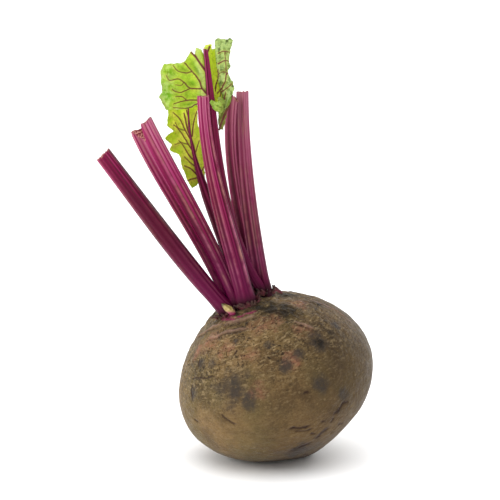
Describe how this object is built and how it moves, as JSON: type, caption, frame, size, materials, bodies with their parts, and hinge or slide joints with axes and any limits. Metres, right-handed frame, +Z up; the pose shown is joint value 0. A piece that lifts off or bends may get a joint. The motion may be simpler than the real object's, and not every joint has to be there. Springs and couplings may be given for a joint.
{
  "type": "beetroot with cut leaf stalks",
  "caption": "Whole squat beetroot standing on its underside, with cut red leaf stalks rising from the crown and torn pieces of leaf on the inner ones.",
  "frame": {"origin": "centre of the small flat spot on the underside that the root rests on", "axes": "+Z up, from the flat spot to the top of the leaf; +X to the side the root bulges to, with the stalks leaning to -X; -Y is the front"},
  "size_m": [0.1215, 0.0903, 0.1893],
  "materials": {
    "root_skin": "dull, earthy brown root skin, rough at the crown and smoother below",
    "stalk": "satin magenta to dark crimson stalk with paler lengthwise ribs",
    "leaf": "soft satin yellow-green leaf with dark red branching veins",
    "bud": "pale yellow bud flushed pink at its base",
    "withered": "dry, dark papery leaf base"
  },
  "bodies": {
    "root": {"beet_root": "root_skin", "petiole_far_left": "stalk", "petiole_left": "stalk", "petiole_front": "stalk", "petiole_lower_leaf": "stalk", "petiole_upper_leaf": "stalk", "petiole_back_left": "stalk", "petiole_back_right": "stalk", "leaf_blade_upper": "leaf", "leaf_blade_lower": "leaf", "bud_stub": "bud", "dry_scale": "withered"}
  },
  "joints": []
}
